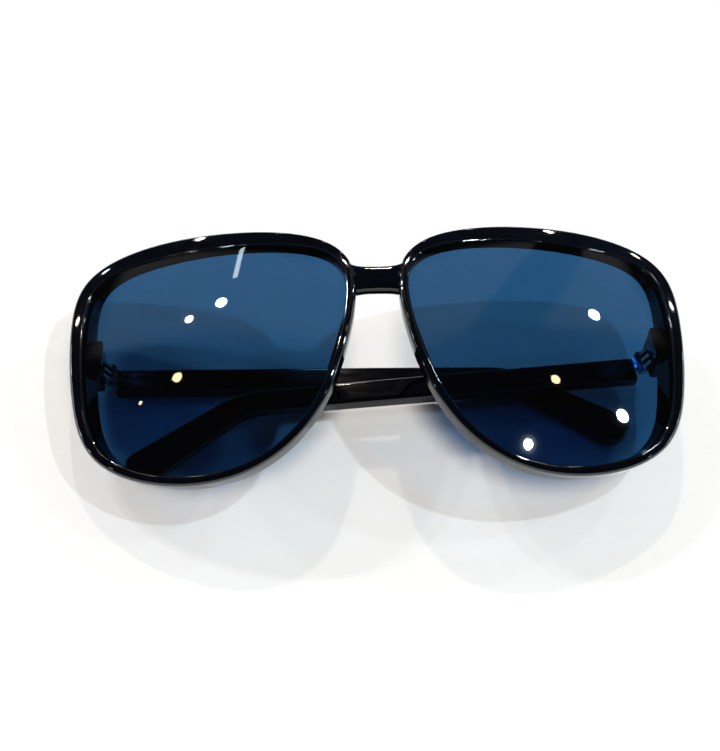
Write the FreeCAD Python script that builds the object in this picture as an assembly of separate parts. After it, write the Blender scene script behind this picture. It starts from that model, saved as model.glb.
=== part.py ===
"""Oversized sunglasses, folded, lying on the right temple with the lenses up.

Millimetres, +Z up from the table, +X along the front, +Y towards the top of the front.
Right and left are the wearer's, so the right temple is hinged at the -X end.
"""
import os
import FreeCAD, Part
from math import asin, cos, degrees, radians, sin, sqrt, tan
from FreeCAD import Placement, Rotation, Vector

# Front: a bent sheet with walls square to its spherical face
front_radius = 160.0
front_thickness = 4.6
back_radius = 138.0
opening_width = 63.5
opening_height = 60.0
opening_gap = 14.2
rim_width = 4.4
rim_outer_round = 1.1
rim_lip_round = 0.5
rim_back_round = 0.7

# Poles of the opening outline, clockwise from the top, as shares of its half width and half height,
# and the width and the depth of the rim at each pole
opening_shares = [
    (-0.06, 0.964), (0.594, 0.964), (0.975, 0.872), (1.011, 0.42), (0.966, -0.232), (0.854, -0.726),
    (0.339, -1.004), (-0.276, -1.023), (-0.755, -0.638), (-0.974, 0.073), (-1.038, 0.68), (-0.717, 0.885),
]
rim_width_shares = [1.27, 1.41, 1.23, 0.9, 0.76, 0.6, 0.52, 0.46, 0.44, 0.47, 0.62, 1.04]
rim_depth_shares = [0.46, 0.46, 0.62, 0.9, 1.0, 1.0, 1.0, 1.0, 1.0, 0.96, 0.8, 0.56]
cone_near_share = 0.6

# Lenses, each with a tongue round its edge in the groove of the rim
lens_thickness = 1.8
lens_setback = 0.6
lens_clearance = 0.1
tongue_thickness = 0.8
groove_depth = 0.7
groove_clearance = 0.04

# Bridge: a strap behind the proud rims, flared where it meets them
bridge_height = 6.4
bridge_thickness = 4.0
bridge_level = 16.0
bridge_setback = 1.5
bridge_bite = 0.6
bridge_station_shares = [-1.0, -0.55, 0.0, 0.55, 1.0]
bridge_height_shares = [1.32, 1.05, 1.0, 1.05, 1.32]
bridge_thickness_shares = [1.08, 1.0, 1.0, 1.0, 1.08]
bridge_round_share = 0.36

# Nose pads bonded behind the nasal sides of the rims
pad_length = 17.0
pad_width = 2.6
pad_depth = 5.0
pad_level = -1.0
pad_inset = 2.0
pad_slant = 15.5
pad_lean = 1.2
pad_depth_shares = [-0.5, 0.3, 0.65, 0.88, 1.0]
pad_size_shares = [1.0, 0.97, 0.84, 0.62, 0.32]
pad_round_share = 0.48

# Hinges: five barrels on one screw
hinge_inset = 5.8
hinge_level = 5.2
hinge_drop = 6.6
barrel_radius = 1.25
barrel_stack = 4.8
barrel_gap = 0.1
hinge_clearance = 0.15
leaf_thickness = 1.1
front_leaf_length = 5.6
temple_leaf_length = 8.4
front_gusset = 3.4
temple_gusset = 5.0
leaf_end_lift = 0.2
screw_radius = 0.62
screw_running_clearance = 0.05
screw_seat_clearance = 0.02
screw_head_radius = 1.0
screw_head_height = 0.55
screw_slot_width = 0.3
screw_slot_depth = 0.25
screw_tail = 0.3

# Lugs behind the rims
lug_height = 8.6
lug_reach = 8.4
lug_round = 0.9
lug_tail = 3.0

# Temples
temple_thickness = 3.6
tip_thickness = 2.9
butt_height = 6.6
bar_height = 6.1
tip_height = 9.4
bar_length = 97.0
tip_length = 32.0
butt_setback = 0.8
butt_gap = 0.25
drop_angle = 33.0
bend_top_radius = 20.0
bend_bottom_radius = 12.0
tip_top_radius = 2.6
tip_end_radius = 4.0
butt_round = 0.7
temple_edge_round = 0.95

# Core wires inside the temples, from the end of the hinge leaf
wire_radius = 0.6
wire_start = 0.6
wire_end_margin = 9.0
wire_height = 1.5
wire_bend_radius = 15.0

# The folded pair on the table
pantoscopic_angle = 9.0
stack_gap = 0.3
right_fold_slope = 0.5
left_fold_slope = 5.5
right_open_angle = 92.0
left_open_angle = 95.5

ORIGIN = Vector(0, 0, 0)
AXIS_X = Vector(1, 0, 0)
AXIS_Y = Vector(0, 1, 0)
AXIS_Z = Vector(0, 0, 1)
quarter_angle = 90.0
barrel_count = 5
axis_stand = barrel_radius + hinge_clearance
half_spacing = opening_gap / 2 + opening_width - hinge_inset
back_sag = back_radius - sqrt(back_radius ** 2 - half_spacing ** 2 - hinge_level ** 2)
hinge_depth = front_thickness + back_sag + hinge_drop
front_roll = degrees(asin((temple_thickness + stack_gap) / (2 * half_spacing)))
sphere_centre = Vector(0, 0, -front_radius)
back_centre = Vector(0, 0, -front_thickness - back_radius)
round_steps = 3
round_turns = [radians(quarter_angle * i / round_steps) for i in range(round_steps + 1)]


def rounded_outline(corners):
    """Closed flat wire through (x, y, radius) corners, each rounded by a tangent arc."""
    edges = []
    starts = []
    ends = []
    count = len(corners)
    for i in range(count):
        x, y, radius = corners[i]
        here = Vector(x, y, 0)
        before = Vector(corners[i - 1][0], corners[i - 1][1], 0).sub(here).normalize()
        after = Vector(corners[(i + 1) % count][0], corners[(i + 1) % count][1], 0).sub(here).normalize()
        half = before.getAngle(after) / 2
        reach = radius / tan(half)
        start = here.add(before * reach)
        end = here.add(after * reach)
        middle = here.add((before + after).normalize() * (radius / sin(half) - radius))
        starts.append(start)
        ends.append(end)
        edges.append(Part.Arc(start, middle, end).toShape())
    for i in range(count):
        edges.append(Part.makeLine(ends[i], starts[(i + 1) % count]))
    return Part.Wire(Part.__sortEdges__(edges))


def extruded(wire, direction):
    return Part.Face(wire).extrude(direction)


def box(low, high):
    size = high.sub(low)
    return Part.makeBox(size.x, size.y, size.z, low)


def on_axis_y(radius, low, high):
    return Part.makeCylinder(radius, high - low, Vector(0, low, 0), AXIS_Y)


def side_profile(points, low, high):
    """Solid with a straight-sided outline of (x, z) points, from low to high along Y."""
    wire = Part.makePolygon([Vector(x, low, z) for x, z in points + points[:1]])
    return extruded(wire, Vector(0, high - low, 0))


# Front outlines: rings of poles, moved outwards from the opening and inwards along the radius


def radial(pole, depth):
    """Point of the front seen at a pole, sunk below the face along the radius."""
    height = sqrt(front_radius ** 2 - pole.x ** 2 - pole.y ** 2)
    return sphere_centre.add(Vector(pole.x, pole.y, height) * (1 - depth / front_radius))


def back_depth(pole):
    """Depth of the back below the face, along the radius through a pole."""
    offset = front_radius - front_thickness - back_radius
    along = offset * sqrt(front_radius ** 2 - pole.x ** 2 - pole.y ** 2) / front_radius
    return front_radius - along - sqrt(along ** 2 - offset ** 2 + back_radius ** 2)


opening_centre = (opening_gap + opening_width) / 2
opening_poles = [
    Vector(opening_centre + a * opening_width / 2, b * opening_height / 2, 0) for a, b in opening_shares
]
pole_count = len(opening_poles)


def closed_curve(poles):
    """Smooth closed curve drawn by a ring of poles."""
    curve = Part.BSplineCurve()
    curve.buildFromPoles(poles, True)
    return curve


def grown_poles(widths):
    """Poles of the opening moved outwards by the given widths."""
    moved = []
    for i, width in enumerate(widths):
        along = opening_poles[(i + 1) % pole_count].sub(opening_poles[i - 1])
        moved.append(opening_poles[i].add(AXIS_Z.cross(along).normalize() * width))
    return moved


def even(width):
    return [width] * pole_count


def face_ring(widths, depth):
    return closed_curve([radial(pole, depth) for pole in grown_poles(widths)]).toShape()


def back_ring(widths, rise):
    """Ring on the back of a rim, which is thinner along the brow."""
    poles = grown_poles(widths)
    depths = [back_depth(pole) * share - rise for pole, share in zip(poles, rim_depth_shares)]
    return closed_curve([radial(pole, depth) for pole, depth in zip(poles, depths)]).toShape()


def radial_cone(widths):
    """Cone from the centre of the sphere through a ring on the face, cut off by two flat planes."""
    rays = [radial(pole, 0).sub(sphere_centre) for pole in grown_poles(widths)]
    outline = closed_curve([sphere_centre.add(ray * (front_radius / ray.z)) for ray in rays])
    for i, ray in enumerate(rays):
        outline.setWeight(i + 1, ray.z / front_radius)
    far = Part.Wire(outline.toShape())
    near = far.copy()
    near.scale(cone_near_share, sphere_centre)
    return Part.makeLoft([near, far], True, True)


def ball(radius, centre=sphere_centre):
    """Sphere with its seam turned to the back."""
    solid = Part.makeSphere(radius)
    turn = Rotation(AXIS_Y, quarter_angle).multiply(Rotation(AXIS_X, -quarter_angle))
    solid.Placement = Placement(centre, turn)
    return solid


# Rims: thicker towards the temples, because the back is bent more than the face

rim_widths = [rim_width * share for share in rim_width_shares]


def wall_widths(inset):
    """Widths of the outer wall, drawn in by an inset."""
    return [width - inset for width in rim_widths]


rings = []
for turn in round_turns:
    rings.append(face_ring(even(rim_lip_round * (1 - cos(turn))), rim_lip_round * (1 - sin(turn))))
for turn in round_turns:
    rings.append(face_ring(wall_widths(rim_outer_round * (1 - sin(turn))), rim_outer_round * (1 - cos(turn))))
for turn in round_turns:
    rings.append(back_ring(wall_widths(rim_back_round * (1 - cos(turn))), rim_back_round * (1 - sin(turn))))
rings.append(back_ring(even(0), 0))
skin = Part.makeCompound([Part.makeRuledSurface(rings[i - 1], ring) for i, ring in enumerate(rings)])
skin.sewShape()
rim = Part.Solid(skin.Shells[0])

# Lenses and grooves: between two spheres, with edges square to them

lens_outer = front_radius - lens_setback
lens_inner = lens_outer - lens_thickness
tongue_outer = lens_outer - (lens_thickness - tongue_thickness) / 2
tongue_inner = tongue_outer - tongue_thickness


def bent_sheet(outer, inner, width):
    """Sheet between two spheres that reaches out from the opening by a width."""
    return ball(outer).common(radial_cone(even(width))).cut(ball(inner))


lens = bent_sheet(lens_outer, lens_inner, -lens_clearance).fuse(
    bent_sheet(tongue_outer, tongue_inner, groove_depth))
groove = bent_sheet(
    tongue_outer + groove_clearance, tongue_inner - groove_clearance, groove_depth + groove_clearance)
seat = bent_sheet(lens_outer + groove_clearance, lens_inner - groove_clearance, -lens_clearance / 2)

# Bridge

bridge_half = opening_gap / 2 - bridge_bite
bridge_sections = []
for station, tall, thick in zip(bridge_station_shares, bridge_height_shares, bridge_thickness_shares):
    half_tall = bridge_height * tall / 2
    half_thick = bridge_thickness * thick / 2
    corner = bridge_thickness * bridge_round_share
    section = rounded_outline([
        (-half_tall, -half_thick, corner), (half_tall, -half_thick, corner),
        (half_tall, half_thick, corner), (-half_tall, half_thick, corner),
    ])
    middle = Vector(bridge_half * station, bridge_level, -bridge_setback - bridge_thickness / 2)
    section.Placement = Placement(middle, Rotation(AXIS_Y, AXIS_Z, AXIS_X, "ZXY"))
    bridge_sections.append(section)
bridge = Part.makeLoft(bridge_sections, True, False)

# Nose pads

pad_base = Vector(opening_gap / 2 + pad_inset, pad_level, 0)
pad_base.z = back_centre.z + sqrt(back_radius ** 2 - pad_base.x ** 2 - pad_base.y ** 2)
pad_sections = []
for deep, size in zip(pad_depth_shares, pad_size_shares):
    half_long = pad_length * size / 2
    half_wide = pad_width * size / 2
    corner = pad_width * size * pad_round_share
    section = rounded_outline([
        (-half_long, -half_wide, corner), (half_long, -half_wide, corner),
        (half_long, half_wide, corner), (-half_long, half_wide, corner),
    ])
    shift = Vector(pad_lean * deep, 0, -pad_depth * deep)
    section.Placement = Placement(pad_base.add(shift), Rotation(AXIS_Z, pad_slant - quarter_angle))
    pad_sections.append(section)
pad = Part.makeLoft(pad_sections, True, True).common(ball(back_radius, back_centre)).cut(rim)


# From the front's own frame and from each hinge frame to the table

front_turn = Rotation(AXIS_Y, -front_roll).multiply(Rotation(AXIS_X, pantoscopic_angle))


def hinge_in_front(side):
    return Vector(side * half_spacing, hinge_level, -hinge_depth)


lift = temple_thickness + axis_stand - front_turn.multVec(hinge_in_front(-1)).z
front_place = Placement(Vector(0, 0, lift), front_turn)


def from_front(shape):
    moved = shape.copy()
    moved.Placement = front_place.multiply(moved.Placement)
    return moved


def mirrored(shape):
    return shape.mirror(ORIGIN, AXIS_X)


def hinge_place(side):
    slope = right_fold_slope if side < 0 else left_fold_slope
    return Placement(front_place.multVec(hinge_in_front(side)), Rotation(AXIS_Z, slope))


def from_hinge(shape, side):
    """Carry a shape drawn for the right hinge, temple along +X, to its side of the front."""
    moved = shape.copy() if side < 0 else mirrored(shape)
    moved.Placement = hinge_place(side).multiply(moved.Placement)
    return moved


# Hinge leaves, drawn about the screw: barrels along Y, temple along +X, front towards +Z

half_stack = barrel_stack / 2
barrel_pitch = (barrel_stack + barrel_gap) / barrel_count
barrel_length = barrel_pitch - barrel_gap
barrel_lows = [-half_stack + barrel_pitch * i for i in range(barrel_count)]
front_plate = box(
    Vector(-axis_stand - leaf_thickness, -half_stack, leaf_end_lift),
    Vector(-axis_stand, half_stack, front_leaf_length))
temple_plate = box(
    Vector(axis_stand, -half_stack, -axis_stand - leaf_thickness),
    Vector(axis_stand + temple_leaf_length, half_stack, -axis_stand))
front_web = [(0, 0), (0, barrel_radius), (-axis_stand, front_gusset), (-axis_stand, leaf_end_lift)]
temple_web = [(0, 0), (0, barrel_radius), (temple_gusset, -axis_stand), (axis_stand, -axis_stand)]


def leaf(plate, web, lows, hole):
    """One leaf: plate, its barrels and the webs that carry them, bored for the screw."""
    pieces = []
    for low in lows:
        pieces.append(on_axis_y(barrel_radius, low, low + barrel_length))
        pieces.append(side_profile(web, low, low + barrel_length))
    solid = plate.fuse(pieces).removeSplitter()
    return solid.cut(on_axis_y(hole, -barrel_stack, barrel_stack))


front_leaf = leaf(front_plate, front_web, barrel_lows[0::2], screw_radius + screw_seat_clearance)
temple_leaf = leaf(temple_plate, temple_web, barrel_lows[1::2], screw_radius + screw_running_clearance)

head_top = half_stack + screw_head_height
screw = on_axis_y(screw_radius, -half_stack - screw_tail, half_stack)
screw = screw.fuse(on_axis_y(screw_head_radius, half_stack, head_top)).removeSplitter()
screw = screw.cut(box(
    Vector(-screw_head_radius, head_top - screw_slot_depth, -screw_slot_width / 2),
    Vector(screw_head_radius, head_top, screw_slot_width / 2)))


# Lugs: the end of each is mitred to meet the open temple


def lug(open_angle):
    outer = -axis_stand - temple_thickness
    half = lug_height / 2
    plan = rounded_outline([
        (outer, -half, lug_round), (-axis_stand, -half, lug_round),
        (-axis_stand, half, lug_round), (outer, half, lug_round),
    ])
    plan.translate(Vector(0, 0, -lug_tail))
    solid = extruded(plan, Vector(0, 0, lug_tail + lug_reach))
    room = box(
        Vector(butt_setback - butt_gap, -lug_height, -tip_length),
        Vector(bar_length, lug_height, tip_length))
    room.rotate(ORIGIN, AXIS_Y, open_angle)
    return solid.cut(room)


# Temples

tip_turn = radians(drop_angle)
bend_shift = bar_height / 2 * tan(tip_turn / 2)
bend_x = butt_setback + bar_length
tip_end = Vector(bend_x + tip_length * cos(tip_turn), -tip_length * sin(tip_turn), 0)
tip_side = Vector(sin(tip_turn), cos(tip_turn), 0) * (tip_height / 2)
tip_top = tip_end.add(tip_side)
tip_bottom = tip_end.sub(tip_side)
temple_plan = rounded_outline([
    (butt_setback, -butt_height / 2, butt_round),
    (butt_setback, butt_height / 2, butt_round),
    (bend_x + bend_shift, bar_height / 2, bend_top_radius),
    (tip_top.x, tip_top.y, tip_top_radius),
    (tip_bottom.x, tip_bottom.y, tip_end_radius),
    (bend_x - bend_shift, -bar_height / 2, bend_bottom_radius),
])
outer_face = -axis_stand - temple_thickness
temple_plan.translate(Vector(0, 0, outer_face))
temple_blank = extruded(temple_plan, Vector(0, 0, temple_thickness))

# The inner face keeps its thickness along the bar and thins along the tip
thin = temple_thickness - tip_thickness
taper = Part.makePolygon([
    Vector(bend_x - tip_length, 0, -axis_stand), Vector(bend_x + tip_length, 0, -axis_stand - thin),
    Vector(bend_x + tip_length, 0, 0), Vector(bend_x - tip_length, 0, 0),
    Vector(bend_x - tip_length, 0, -axis_stand),
])
taper.translate(Vector(0, -tip_length - tip_height, 0))
shaving = extruded(taper, Vector(0, 2 * (tip_length + tip_height), 0))
temple_blank = temple_blank.cut(shaving)


def long_edges(solid):
    """Edges round the inner and the outer face, without those through the thickness."""
    kept = []
    for edge in solid.Edges:
        reach = edge.BoundBox
        if reach.ZLength < thin * 2 and max(reach.XLength, reach.YLength) > butt_round / 2:
            kept.append(edge)
    return kept


temple_solid = temple_blank.makeFillet(temple_edge_round, long_edges(temple_blank))

# Core wire: along the bar, round the bend and down the tip

wire_level = outer_face + wire_height
wire_turn = wire_bend_radius * tan(tip_turn / 2)
wire_tip = tip_length - wire_end_margin
wire_corner = Vector(bend_x, 0, wire_level)
down = Vector(cos(tip_turn), -sin(tip_turn), 0)
wire_first = Vector(axis_stand + temple_leaf_length + wire_start, 0, wire_level)
wire_in = wire_corner.sub(AXIS_X * wire_turn)
wire_out = wire_corner.add(down * wire_turn)
half_out = (down - AXIS_X).normalize()
wire_middle = wire_corner.add(half_out * (wire_bend_radius / cos(tip_turn / 2) - wire_bend_radius))
wire_last = wire_corner.add(down * wire_tip)
wire_path = Part.Wire([
    Part.makeLine(wire_first, wire_in),
    Part.Arc(wire_in, wire_middle, wire_out).toShape(),
    Part.makeLine(wire_out, wire_last),
])
wire_ring = Part.Wire(Part.makeCircle(wire_radius, wire_first, AXIS_X))
core_wire = wire_path.makePipeShell([wire_ring], True, False)
temple_solid = temple_solid.cut(temple_plate).cut(core_wire)

# The front as one piece on the table

front = from_front(rim).fuse([
    from_front(mirrored(rim)), from_front(bridge),
    from_hinge(lug(right_open_angle), -1), from_hinge(lug(left_open_angle), 1),
])
for room in (groove, seat, mirrored(groove), mirrored(seat)):
    front = front.cut(from_front(room))
for side in (-1, 1):
    front = front.cut(from_hinge(front_plate, side))

nodes = {
    "front_frame": front,
    "right_lens": from_front(mirrored(lens)),
    "left_lens": from_front(lens),
    "right_nose_pad": from_front(mirrored(pad)),
    "left_nose_pad": from_front(pad),
}
for name, side in (("right", -1), ("left", 1)):
    nodes[name + "_front_leaf"] = from_hinge(front_leaf, side)
    nodes[name + "_temple_leaf"] = from_hinge(temple_leaf, side)
    nodes[name + "_hinge_screw"] = from_hinge(screw, side)
    nodes[name + "_temple"] = from_hinge(temple_solid, side)
    nodes[name + "_core_wire"] = from_hinge(core_wire, side)

# Origin: middle of the footprint box, on the table

bounds = Part.makeCompound(list(nodes.values())).optimalBoundingBox(False, False)
home = Vector(-bounds.Center.x, -bounds.Center.y, -bounds.ZMin)
os.makedirs("parts", exist_ok=True)
for name, shape in nodes.items():
    shape.translate(home)
    shape.exportStep(os.path.join("parts", name + ".step"))
    print(name, "solids", len(shape.Solids), "valid", shape.isValid(), "volume", round(shape.Volume, 2))
for name, side in (("right", -1), ("left", 1)):
    place = hinge_place(side)
    print(name, "hinge at", place.Base.add(home), "axis", place.Rotation.multVec(AXIS_Y))
print("front at", front_place.Base.add(home), "roll", front_roll, "box", bounds)
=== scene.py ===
"""Oversized black sunglasses with navy lenses, folded on a white table."""
from math import radians

import bmesh
import bpy
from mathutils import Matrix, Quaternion, Vector


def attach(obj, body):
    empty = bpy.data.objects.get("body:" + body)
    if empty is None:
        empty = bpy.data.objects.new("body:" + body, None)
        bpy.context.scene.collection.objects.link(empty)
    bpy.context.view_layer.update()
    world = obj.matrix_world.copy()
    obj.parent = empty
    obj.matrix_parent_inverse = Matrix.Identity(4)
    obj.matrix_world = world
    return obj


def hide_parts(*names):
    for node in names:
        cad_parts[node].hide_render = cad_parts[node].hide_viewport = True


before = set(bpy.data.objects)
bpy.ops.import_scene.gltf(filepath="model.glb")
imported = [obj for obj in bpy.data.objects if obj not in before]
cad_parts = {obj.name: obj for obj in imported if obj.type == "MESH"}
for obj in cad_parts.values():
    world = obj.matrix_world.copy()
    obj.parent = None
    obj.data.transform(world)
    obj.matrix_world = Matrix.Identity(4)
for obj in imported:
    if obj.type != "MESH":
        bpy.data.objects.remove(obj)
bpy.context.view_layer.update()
scene = bpy.context.scene
scene.view_settings.view_transform = "Standard"

# Viewpoint
# A hand-held camera above the near edge of the table, a little left of the bridge and
# slightly rolled. Its height and distance put the front in the picture as it was seen.
eye = Vector((-0.01679, -0.18648, 0.26028))
aim = Vector((-0.0036, 0.0099, 0.0))
camera_roll = radians(2.72)
camera = bpy.data.objects.new("camera", bpy.data.cameras.new("camera"))
camera.data.sensor_fit = "HORIZONTAL"
camera.data.sensor_width = 36
camera.data.lens = 65
camera.data.clip_start = 0.01
camera.rotation_mode = "QUATERNION"
camera.location = eye
level_look = (aim - eye).to_track_quat("-Z", "Y")
camera.rotation_quaternion = level_look @ Quaternion((0, 0, 1), camera_roll)
scene.collection.objects.link(camera)
scene.camera = camera


# Table
# A wide sheet of white acrylic, which fills the picture behind the object. Painted light lifts its
# shadows towards white: to the camera it is partly see-through to the white world, and in mirrors
# it glows, except in an oval under each lens, where the floor stays darker with its full shadow.
# The see-through also lets most of the opened temples show below it.
class Shade:
    """A shader value in a Python expression: each operator adds its Math node."""

    def __init__(self, socket):
        self.socket = socket

    def math(self, operation, first, second):
        tree = self.socket.id_data
        node = tree.nodes.new("ShaderNodeMath")
        node.operation = operation
        for value, target in zip((first, second), node.inputs):
            if isinstance(value, Shade):
                tree.links.new(value.socket, target)
            else:
                target.default_value = value
        return Shade(node.outputs[0])

    def __add__(self, other):
        return self.math("ADD", self, other)

    def __radd__(self, other):
        return self.math("ADD", other, self)

    def __sub__(self, other):
        return self.math("SUBTRACT", self, other)

    def __rsub__(self, other):
        return self.math("SUBTRACT", other, self)

    def __mul__(self, other):
        return self.math("MULTIPLY", self, other)

    def __rmul__(self, other):
        return self.math("MULTIPLY", other, self)

    def __truediv__(self, other):
        return self.math("DIVIDE", self, other)

    def __pow__(self, other):
        return self.math("POWER", self, other)

    def __abs__(self):
        return self.math("ABSOLUTE", self, 0.0)


class Finish:
    """A node tree of a material or of the world, built node by node."""

    def __init__(self, owner):
        owner.use_nodes = True
        self.owner = owner
        self.tree = owner.node_tree
        self.tree.nodes.clear()

    def node(self, kind, settings=None, sockets=None, output=0):
        """Add a node, set it up, fill or link its sockets and return one of its outputs, if any."""
        node = self.tree.nodes.new("ShaderNode" + kind)
        for name, value in (settings or {}).items():
            if name == "stops":
                for stop, (position, colour) in zip(node.color_ramp.elements, value):
                    stop.position = position
                    stop.color = (*colour, 1)
            else:
                setattr(node, name, value)
        for name, value in (sockets or {}).items():
            if isinstance(value, Shade):
                self.tree.links.new(value.socket, node.inputs[name])
            else:
                node.inputs[name].default_value = value
        return None if output is None else Shade(node.outputs[output])

    def place(self):
        return self.node("TexCoord", output="Object")

    def parts(self, vector, axes):
        """The named axes of a vector, each as a value of its own."""
        return [self.node("SeparateXYZ", sockets={"Vector": vector}, output=axis) for axis in axes]

    def noise(self, scale, detail, stretch=(1, 1, 1)):
        """Noise from 0 to 1 with features of about one over scale metres, stretched by axis."""
        where = self.node("Mapping", sockets={"Vector": self.place(), "Scale": stretch})
        return self.node("TexNoise", sockets={"Vector": where, "Scale": scale, "Detail": detail})

    def rise(self, value, low, high):
        """A smooth step from 0 at low to 1 at high."""
        return self.node("MapRange", {"interpolation_type": "SMOOTHSTEP"}, {
            "Value": value, "From Min": low, "From Max": high})

    def ramp(self, value, stops):
        """A colour that goes from one stop to the other with a value."""
        return self.node("ValToRGB", {"stops": stops}, {"Fac": value})

    def relief(self, height, strength, depth):
        """A normal that is tilted as if the height stood out by the depth in metres."""
        return self.node("Bump", sockets={
            "Strength": strength, "Distance": depth, "Height": height}, output="Normal")

    def surface(self, shader):
        self.node("OutputMaterial", sockets={"Surface": shader}, output=None)


# A noise is given as its scale and detail, and a roughness as its least value and its range
table_half = 3.0
table_corners = ((-1, -1), (1, -1), (1, 1), (-1, 1))
# The share and colour of the painted light that lifts the floor, and the ovals under the lenses that it
# leaves out
table_lift = 0.44
lift_tint = (1.22, 1.18, 1.12)
table_peel = (220.0, 3.0)
table_tones = [(0.3, (0.91, 0.91, 0.92)), (0.7, (0.94, 0.94, 0.94))]
table_rough = (0.45, 0.1)
table_specular = 0.2
shade_oval_centre = (0.041, 0.0195)
shade_oval_reach = (0.034, 0.0415)
shade_oval_edge = (0.8, 1.3)


def table_finish():
    """White, lifted towards white by painted light except in an oval under each lens, where it is darker.
    """
    finish = Finish(bpy.data.materials.new("lifted_white_acrylic"))
    peel = finish.noise(*table_peel)
    sheet = finish.node("BsdfPrincipled", sockets={
        "Base Color": finish.ramp(peel, table_tones),
        "Roughness": table_rough[0] + table_rough[1] * peel,
        "Specular IOR Level": table_specular})
    across, away = finish.parts(finish.place(), "XY")
    aside = (abs(across) - shade_oval_centre[0]) / shade_oval_reach[0]
    ahead = (away - shade_oval_centre[1]) / shade_oval_reach[1]
    # Painted light: the lift fades out in an oval under each lens, so the floor keeps a darker shade there
    clear = table_lift * finish.rise(aside * aside + ahead * ahead, *shade_oval_edge)
    direct, mirrored, bent = [
        finish.node("LightPath", output=ray)
        for ray in ("Is Camera Ray", "Is Glossy Ray", "Is Transmission Ray")]
    below = finish.node("BsdfTransparent", sockets={"Color": (*lift_tint, 1)})
    lifted_sheet = finish.node("MixShader", sockets={0: clear * direct, 1: sheet, 2: below})
    # A painted glow that makes the floor pale in mirrors, outside the ovals under the lenses
    painted_mirror_glow = finish.node("Emission", sockets={
        "Color": (*lift_tint, 1), "Strength": clear * (mirrored + bent)})
    finish.surface(finish.node("AddShader", sockets={0: lifted_sheet, 1: painted_mirror_glow}))
    return finish.owner


table_mesh = bpy.data.meshes.new("table")
table_mesh.from_pydata(
    [(across * table_half, away * table_half, 0) for across, away in table_corners], [], [(0, 1, 2, 3)])
table_mesh.materials.append(table_finish())
table = bpy.data.objects.new("table", table_mesh)
scene.collection.objects.link(table)

# Room light
# A dim room with a pale far wall, which veils the upper half of the lenses, and a wide soft
# light above. Five bright lamps and three amber ones show as spots on the lenses, and a tube
# as the streak. The other lamps and the low windows draw sparks and lines on the round edges.
room_level = 0.03
cloud_noise = (1.6, 1.0)
cloud_share = (0.8, 0.4)
horizon = (0.0, 0.1)

# The wall's near and far edges, as slopes ahead where each begins and ends, and their bend aside
wall_level = 0.32
wall_near = (0.2, 0.34)
wall_near_bend = 0.42
wall_far = (0.63, 0.7)
wall_far_bend = 0.72
wall_split = (0.1, 0.17)
wall_ends = (1.6, 1.95)
beam_sides = ((0.04, 0.07), (0.27, 0.31))
beam_lean = (0.857, 0.515)

# A lamp is its place, width in metres, power in watts and colour
white = (1, 1, 1)
warm = (1, 0.88, 0.73)
cool = (0.78, 0.91, 1)
amber = (1, 0.78, 0.42)
ceiling = 1.5
bright_lamps = [
    ((0.84, -0.04, ceiling), 0.05, 10.0, cool),
    ((0.0, 1.25, ceiling), 0.06, 9.0, warm),
    ((-0.98, 1.09, ceiling), 0.07, 7.0, cool),
    ((-1.25, 1.07, ceiling), 0.05, 7.0, warm),
    ((1.59, 1.2, ceiling), 0.09, 7.0, cool),
    ((1.72, 0.35, ceiling), 0.1, 7.0, cool),
]
amber_lamps = [
    ((-1.3, 0.58, ceiling), 0.07, 0.4, amber),
    ((1.06, 0.42, ceiling), 0.06, 0.3, amber),
    ((-1.7, 0.53, ceiling), 0.03, 0.08, amber),
]
spark_width = 0.1
far_power = 2.0
far_row = [(-1.5, 2.7, warm), (-0.7, 2.9, cool), (0.0, 2.8, warm), (0.8, 2.9, cool), (1.6, 2.7, warm)]
far_lamps = [((aside, ahead, ceiling), spark_width, far_power, tint) for aside, ahead, tint in far_row]
low_power = 1.2
low_places = [
    (2.0, 2.3, 0.7), (2.4, 1.7, 0.8), (2.7, 1.3, 0.4),
    (2.8, 0.5, 0.7), (2.9, 0.0, 0.4), (2.7, -0.6, 0.9),
]
low_tints = [(-1, (cool, warm, cool, cool, warm, cool)), (1, (warm, cool, cool, warm, cool, cool))]
low_lamps = [
    ((hand * aside, ahead, height), spark_width, low_power, tint)
    for hand, tints in low_tints for (aside, ahead, height), tint in zip(low_places, tints)]

# A window is its place, width, height and power
windows = [((-2.7, 0.9, 0.5), 1.2, 0.08, 9.0), ((2.7, 0.5, 0.5), 1.4, 0.08, 9.0)]
tube_place = (-0.905, 1.5, 1.5)
tube_size = (0.04, 0.36)
tube_power = 0.6
soft_place = (0.05, 0.0, 1.3)
soft_size = 2.4
soft_power = 4.0


def room_finish(world):
    """White to the camera, otherwise dim, with a pale far band that bends aside, less one beam."""
    finish = Finish(world)
    heading = finish.node("TexCoord", output="Generated")
    across, away, height = finish.parts(heading, "XYZ")
    aside = across / height
    ahead = away / height
    above_near = finish.rise(ahead - wall_near_bend * abs(aside), *wall_near)
    halves = finish.rise(abs(aside), *wall_split) * (1 - finish.rise(abs(aside), *wall_ends))
    above_far = finish.rise(ahead - wall_far_bend * abs(aside), *wall_far)
    over = beam_lean[0] * aside - beam_lean[1] * ahead
    beam = finish.rise(over, *beam_sides[0]) * (1 - finish.rise(over, *beam_sides[1]))
    upward = finish.rise(height, *horizon)
    pale = above_near * (1 - above_far) * (1 - beam) * halves * upward
    seen = finish.node("LightPath", output="Is Camera Ray")
    cloud = finish.node("TexNoise", sockets={
        "Vector": heading, "Scale": cloud_noise[0], "Detail": cloud_noise[1]})
    dim = (room_level + wall_level * pale) * (cloud_share[0] + cloud_share[1] * cloud)
    sky = finish.node("Background", sockets={"Color": (*white, 1), "Strength": seen + (1 - seen) * dim})
    finish.node("OutputWorld", sockets={"Surface": sky}, output=None)


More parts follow.
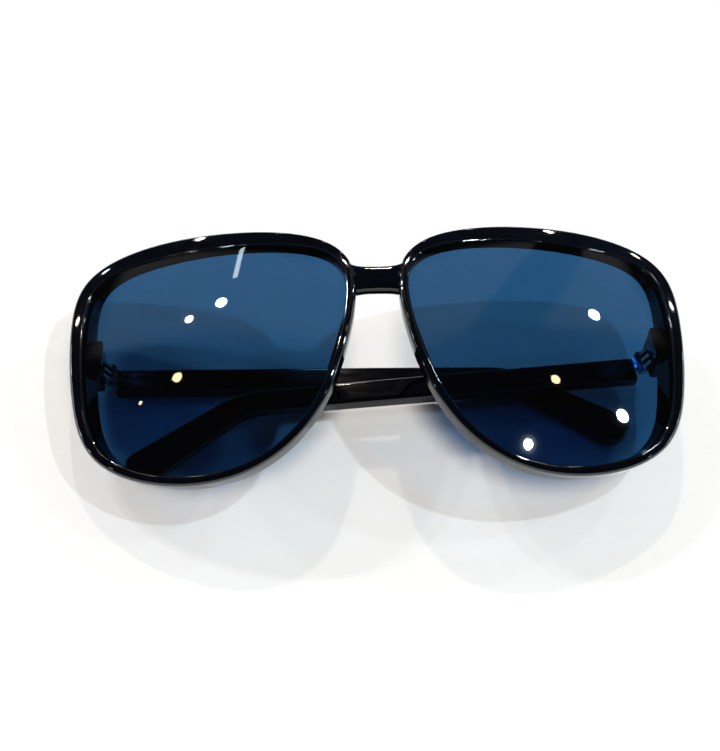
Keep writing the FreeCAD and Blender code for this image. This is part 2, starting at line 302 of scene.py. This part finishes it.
def area_light(name, place, size, power, colour):
    """A round light at a place, turned to the origin, under the middle of the object."""
    data = bpy.data.lights.new(name, "AREA")
    data.shape = "DISK"
    data.size = size
    data.energy = power
    data.color = colour
    light = bpy.data.objects.new(name, data)
    light.location = place
    light.rotation_mode = "QUATERNION"
    light.rotation_quaternion = Vector(place).to_track_quat("Z", "Y")
    scene.collection.objects.link(light)
    return light


def strip_light(name, place, width, height, power):
    """A cool oblong light, turned to the origin too."""
    light = area_light(name, place, width, power, cool)
    light.data.shape = "RECTANGLE"
    light.data.size_y = height
    return light


scene.world = bpy.data.worlds.new("room")
room_finish(scene.world)
soft_light = area_light("soft_light", soft_place, soft_size, soft_power, white)
soft_light.visible_glossy = False
for number, lamp in enumerate(bright_lamps + amber_lamps + far_lamps + low_lamps):
    area_light(f"ceiling_lamp_{number}", *lamp)
for number, window in enumerate(windows):
    strip_light(f"low_window_{number}", *window)

# The tube faces straight down, with its length towards the far wall
tube = strip_light("tube_lamp", tube_place, *tube_size, tube_power)
tube.rotation_quaternion = Quaternion()

# Front frame
# Both rims, the bridge and the hinge lugs are one bent sheet of black acetate, cut by a
# mill, tumbled until the edges are round and polished to a wet gloss.
merge_gap = 2e-6
crease = radians(32)
dye_cloud = (90.0, 3.0)
dye_stops = (0.35, 0.7)
polish_hairs = (900.0, 2.0)
hair_stretch = (0.15, 1, 1)
slow_ripple = (160.0, 1.0)
ripple_strength = 0.03
ripple_depth = 0.0004
acetate_rough = (0.02, 0.04)
acetate_specular = 0.5


def polished(node, name, body, material):
    """Copy of a CAD solid with its loose triangles joined and its shallow edges shaded round."""
    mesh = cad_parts[node].data.copy()
    mesh.name = name
    joined = bmesh.new()
    joined.from_mesh(mesh)
    bmesh.ops.remove_doubles(joined, verts=joined.verts, dist=merge_gap)
    joined.to_mesh(mesh)
    joined.free()
    if "custom_normal" in mesh.attributes:
        mesh.attributes.remove(mesh.attributes["custom_normal"])
    mesh.materials.clear()
    mesh.shade_smooth()
    mesh.set_sharp_from_angle(angle=crease)
    piece = bpy.data.objects.new(name, mesh)
    scene.collection.objects.link(piece)
    even = piece.modifiers.new("even_normals", "WEIGHTED_NORMAL")
    even.keep_sharp = True
    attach(piece, body)
    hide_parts(node)
    piece.data.materials.append(material)


def acetate_finish(name, deep, pale):
    """Dyed acetate: a cloudy black, fine polishing hairs in the gloss and a slow ripple."""
    finish = Finish(bpy.data.materials.new(name))
    cloud = finish.noise(*dye_cloud)
    hairs = finish.noise(*polish_hairs, hair_stretch)
    ripple = finish.noise(*slow_ripple)
    finish.surface(finish.node("BsdfPrincipled", sockets={
        "Base Color": finish.ramp(cloud, list(zip(dye_stops, (deep, pale)))),
        "Roughness": acetate_rough[0] + acetate_rough[1] * hairs,
        "Specular IOR Level": acetate_specular,
        "Normal": finish.relief(ripple, ripple_strength, ripple_depth)}))
    return finish.owner


black_acetate = acetate_finish("black_acetate", deep=(0.0006, 0.001, 0.003), pale=(0.0015, 0.0024, 0.006))
polished("front_frame", "front", "front", black_acetate)

# Lenses
# Curved sheets of nylon dyed navy through their thickness, edged to the rim's groove and
# snapped in from behind. Both faces are polished.
sides = ("right", "left")
lens_dye = (0.133, 0.292, 0.448)
lens_mirror = 0.04
slant_blend = 0.5
slant_power = 5
lens_smear = (45.0, 4.0)
lens_rough = (0.01, 0.02)


def lens_finish():
    """Clear navy: what lies behind is dyed at each face, and the outer side mirrors more at a slant."""
    finish = Finish(bpy.data.materials.new("navy_lens"))
    slant = finish.node("LayerWeight", sockets={"Blend": slant_blend}, output="Facing")
    inside = finish.node("NewGeometry", output="Backfacing")
    mirror = (lens_mirror + (1 - lens_mirror) * slant ** slant_power) * (1 - inside)
    smear = finish.noise(*lens_smear)
    dye = finish.node("BsdfTransparent", sockets={"Color": (*lens_dye, 1)})
    gloss = finish.node("BsdfGlossy", sockets={
        "Color": (*white, 1), "Roughness": lens_rough[0] + lens_rough[1] * smear})
    finish.surface(finish.node("MixShader", sockets={0: mirror, 1: dye, 2: gloss}))
    return finish.owner


navy_lens = lens_finish()
for side in sides:
    polished(side + "_lens", side + "_lens_sheet", "front", navy_lens)

# Nose pads
# Small blocks of the same black acetate behind the nasal sides of the rims, cut to fit the
# rim, glued to it and polished together with it.
for side in sides:
    polished(side + "_nose_pad", side + "_pad", "front", black_acetate)

# Hinges
# Five-barrel hinges of dull nickel, the leaves sunk in the acetate and the barrels drawn
# together by a slotted steel screw.
metal_stain = (700.0, 4.0)
stain_stops = (0.3, 0.75)
drawn_grain = (2500.0, 2.0)
grain_strength = 0.06
grain_depth = 0.00005
grain_rough = 0.06


def metal_finish(name, dark, bright, stretch, rough):
    """Worn metal with a drawn grain and stains in its colour."""
    finish = Finish(bpy.data.materials.new(name))
    stain = finish.noise(*metal_stain)
    drawn = finish.noise(*drawn_grain, stretch)
    finish.surface(finish.node("BsdfPrincipled", sockets={
        "Base Color": finish.ramp(stain, list(zip(stain_stops, (dark, bright)))),
        "Metallic": 1.0,
        "Roughness": rough + grain_rough * drawn,
        "Normal": finish.relief(drawn, grain_strength, grain_depth)}))
    return finish.owner


nickel = metal_finish(
    "dull_nickel", dark=(0.16, 0.155, 0.145), bright=(0.36, 0.35, 0.33), stretch=(1, 0.1, 1), rough=0.04)
steel = metal_finish(
    "screw_steel", dark=(0.25, 0.25, 0.26), bright=(0.55, 0.55, 0.56), stretch=(1, 1, 1), rough=0.18)
for side in sides:
    polished(side + "_front_leaf", side + "_leaf_in_lug", "front", nickel)
    polished(side + "_temple_leaf", side + "_leaf_in_temple", side + "_arm", nickel)
    polished(side + "_hinge_screw", side + "_screw", "front", steel)

# Temples
# Bars of a like acetate with a dropped tip, shot through lengthwise with a wire that keeps
# their bend. Each turns with its hinge leaf on the screw.
temple_acetate = acetate_finish("temple_acetate", deep=(0.0006, 0.001, 0.0025), pale=(0.0015, 0.002, 0.005))
wire_metal = metal_finish(
    "core_wire_metal", dark=(0.2, 0.2, 0.2), bright=(0.45, 0.45, 0.45), stretch=(0.1, 1, 1), rough=0.3)
for side in sides:
    polished(side + "_temple", side + "_temple_bar", side + "_arm", temple_acetate)
    polished(side + "_core_wire", side + "_wire", side + "_arm", wire_metal)
